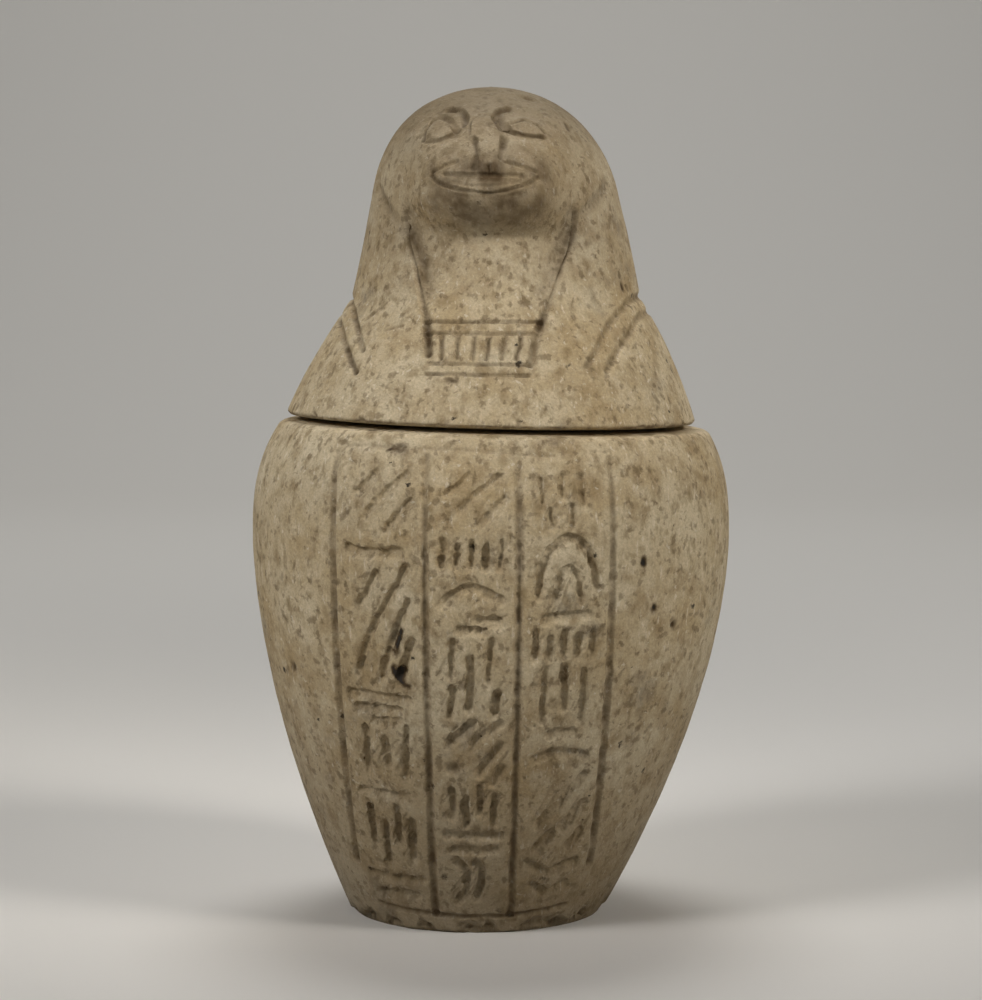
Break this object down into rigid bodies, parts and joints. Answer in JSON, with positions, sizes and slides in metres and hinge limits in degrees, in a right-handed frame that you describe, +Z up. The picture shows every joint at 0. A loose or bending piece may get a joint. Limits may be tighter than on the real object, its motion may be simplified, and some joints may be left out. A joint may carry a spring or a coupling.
{
  "type": "canopic jar",
  "caption": "Hollow stone jar on a flat foot, with an incised panel and a lift-off lid carved as an animal head in a wig, for keeping what is put in it.",
  "frame": {"origin": "on the ground under the middle of the jar's belly", "axes": "+Z up the jar to the crown of the lid's head, the face and the inscription looking towards -Y, +X to the right seen from the front"},
  "size_m": [0.1749, 0.1749, 0.3011],
  "materials": {
    "jar_limestone": "rubbed, brown in the cuts",
    "lid_limestone": "rubbed, brown in the cuts"
  },
  "bodies": {
    "root": {"jar": "jar_limestone", "lid": "lid_limestone"}
  },
  "joints": []
}
